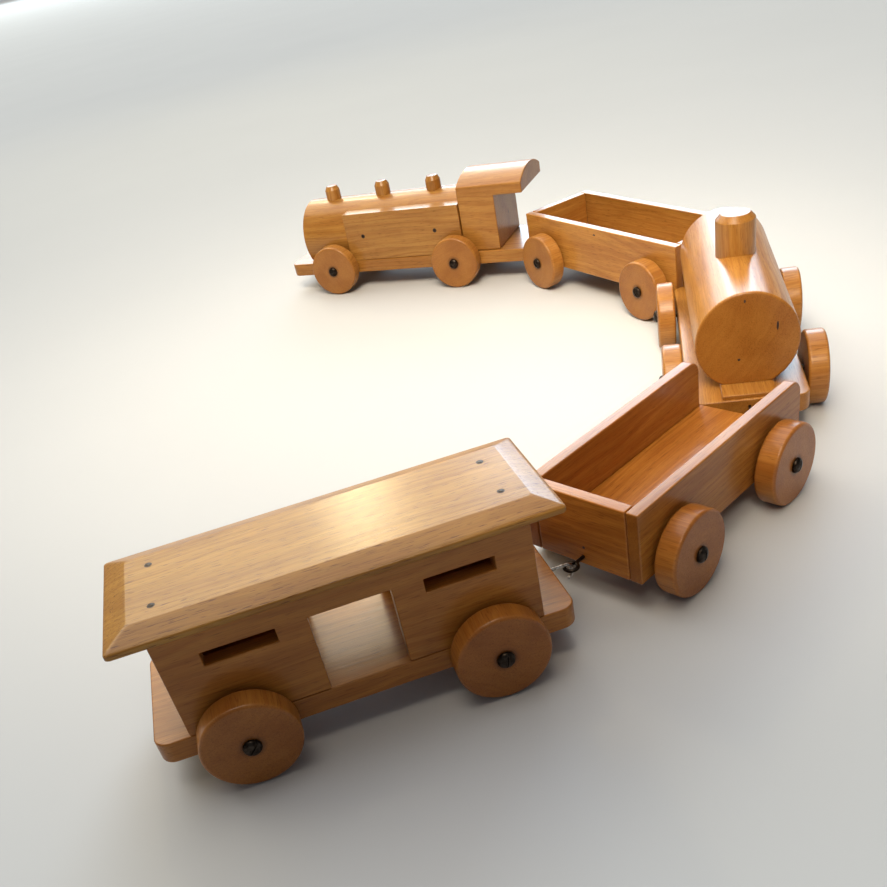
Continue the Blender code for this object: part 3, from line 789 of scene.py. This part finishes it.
def add_box_roof(vehicle):
    low, high = vehicle.box("roof")
    bm = bmesh.new()
    rings = []
    for inset, height in roof_sections(high.z - low.z):
        flat_x = (high.x - low.x) / 2 - inset - ROOF_CORNER
        flat_y = (high.y - low.y) / 2 - inset - ROOF_CORNER
        ring = []
        for quarter, (sign_x, sign_y) in enumerate(((1, 1), (-1, 1), (-1, -1), (1, -1))):
            for step in range(5):
                angle = math.pi / 2 * (quarter + step / 4)
                ring.append(bm.verts.new((sign_x * flat_x + ROOF_CORNER * math.cos(angle),
                                          sign_y * flat_y + ROOF_CORNER * math.sin(angle),
                                          low.z + height)))
        rings.append(ring)
    for lower, upper in zip(rings, rings[1:]):
        for index in range(len(lower)):
            after = (index + 1) % len(lower)
            bm.faces.new((lower[index], lower[after], upper[after], upper[index]))
    bm.faces.new(list(reversed(rings[0])))
    bm.faces.new(rings[-1])
    # the roof's yellower tint paints the warm light on its lit top
    add_wood(vehicle, "roof_board", shaped(mesh_of("roof", bm)), ("roof",), figure=1.9,
             tint=ROOF_WARM_LIGHT_TINT)
    for number, (x, y) in enumerate(ROOF_NAILS_MM, 1):
        add_nail(vehicle, f"roof_nail_{number}", (x * MM, y * MM, high.z - 0.02 * MM), "Z")


# ---------------------------------------------------------------- the train

vehicles = {name: Vehicle(name) for name in BODIES}
for vehicle in vehicles.values():
    add_running_gear(vehicle)
names = list(BODIES)
for leader, follower in zip(names, names[1:]):
    add_eye(vehicles[leader], follower)
    add_hook(vehicles[follower])
add_loco(vehicles["loco"])
add_gondola(vehicles["gondola"])
add_tanker(vehicles["tanker"], vehicles["box_car"].box("base")[1].z)
add_open_wagon(vehicles["open"])
add_box_car(vehicles["box_car"])


# ---------------------------------------------------------------- studio

FLOOR_HALF_SIZE = 60.0
FLOOR_Z = -0.2 * MM                 # just under the wheels


def add_floor():
    n = Nodes("pale_floor")
    place = n.tree.nodes.new("ShaderNodeTexCoord").outputs["Object"]
    cloud = n.noise(n.stretch(place, (3.0, 3.0, 3.0)), detail=3.0)
    n.link(n.mix(cloud, (0.55, 0.56, 0.58, 1.0), (0.58, 0.59, 0.61, 1.0)),
           n.shader.inputs["Base Color"])
    n.constants(Roughness=0.9, Specular_IOR_Level=0.0)
    bm = bmesh.new()
    bmesh.ops.create_grid(bm, x_segments=1, y_segments=1, size=FLOOR_HALF_SIZE)
    mesh = mesh_of("floor", bm)
    mesh.materials.append(n.material)
    floor = linked("floor", mesh)
    floor.location.z = FLOOR_Z


def add_light(name, data, location, target):
    """Hangs a light at a place, facing another."""
    light = linked(name, data)
    light.location = location
    facing = Vector(target) - Vector(location)
    light.rotation_euler = facing.to_track_quat("-Z", "Y").to_euler()


def direction(azimuth, elevation, distance):
    """A point this far away, at degrees to the right of +Y and degrees above the floor."""
    turn, lift = math.radians(azimuth), math.radians(elevation)
    return Vector((math.sin(turn) * math.cos(lift), math.cos(turn) * math.cos(lift),
                   math.sin(lift))) * distance


def add_sun(name, azimuth, elevation, angle, strength, colour):
    data = bpy.data.lights.new(name, "SUN")
    data.angle = math.radians(angle)        # how wide it looks, which softens its shadows
    data.energy = strength
    data.color = colour
    add_light(name, data, direction(azimuth, elevation, 3.0), (0, 0, 0))


def add_panel(name, location, size, power, colour, target=(0, 0, 0.05), spread=180):
    data = bpy.data.lights.new(name, "AREA")
    data.shape = "RECTANGLE"
    data.size, data.size_y = size
    data.energy = power
    data.color = colour
    data.spread = math.radians(spread)
    add_light(name, data, location, target)


def add_studio():
    """Soft light from a wide sky and two windows far behind, and a lamp that the roof mirrors.

    Two dim panels in front keep the near sides from going black.
    """
    add_floor()
    add_sun("soft_key", -18, 60, 60, 2.05, (1.0, 0.97, 0.92))
    add_panel("low_window", direction(8, 16.5, 30.0), (32.0, 6.0), 3700, (0.70, 0.86, 1.0))
    add_panel("high_window", direction(18, 24, 30.0), (13.0, 8.5), 2800, (0.64, 0.84, 1.0))
    add_panel("sky", direction(-32, 33, 31.0), (46.0, 11.0), 4300, (1.0, 0.86, 0.48))
    box_car_roof = Vector((-0.03, -0.33, 0.09))
    add_panel("lamp", box_car_roof + direction(-6.8, 29.3, 2.5), (0.18, 0.18), 4.6,
              (1.0, 0.84, 0.50))
    add_panel("fill", (-0.15, -0.36, 0.85), (0.5, 0.4), 2.5, (1.0, 0.86, 0.66),
              (0.0, 0.28, 0.05), spread=80)
    add_panel("low_fill", (0.0, -0.70, 0.70), (0.3, 0.3), 0.22, (1.0, 0.84, 0.64),
              (0.17, -0.10, 0.07), spread=28)
    world = bpy.data.worlds.new("studio")
    world.use_nodes = True
    background = world.node_tree.nodes["Background"]
    background.inputs["Color"].default_value = (0.93, 0.96, 1.0, 1.0)
    background.inputs["Strength"].default_value = 0.14
    bpy.context.scene.world = world


def add_camera():
    """The photo's own viewpoint, with its off-centre crop as a lens shift."""
    data = bpy.data.cameras.new("camera")
    data.sensor_width = 36.0
    data.lens = 37.77
    data.shift_x = -0.0074
    data.shift_y = 0.1722
    camera = linked("camera", data)
    camera.location = (-0.0789, -0.7240, 0.3269)
    camera.rotation_euler = [math.radians(angle) for angle in (52.618, 10.412, -7.950)]
    bpy.context.scene.camera = camera


add_studio()
add_camera()
bpy.context.scene.view_settings.view_transform = "Standard"
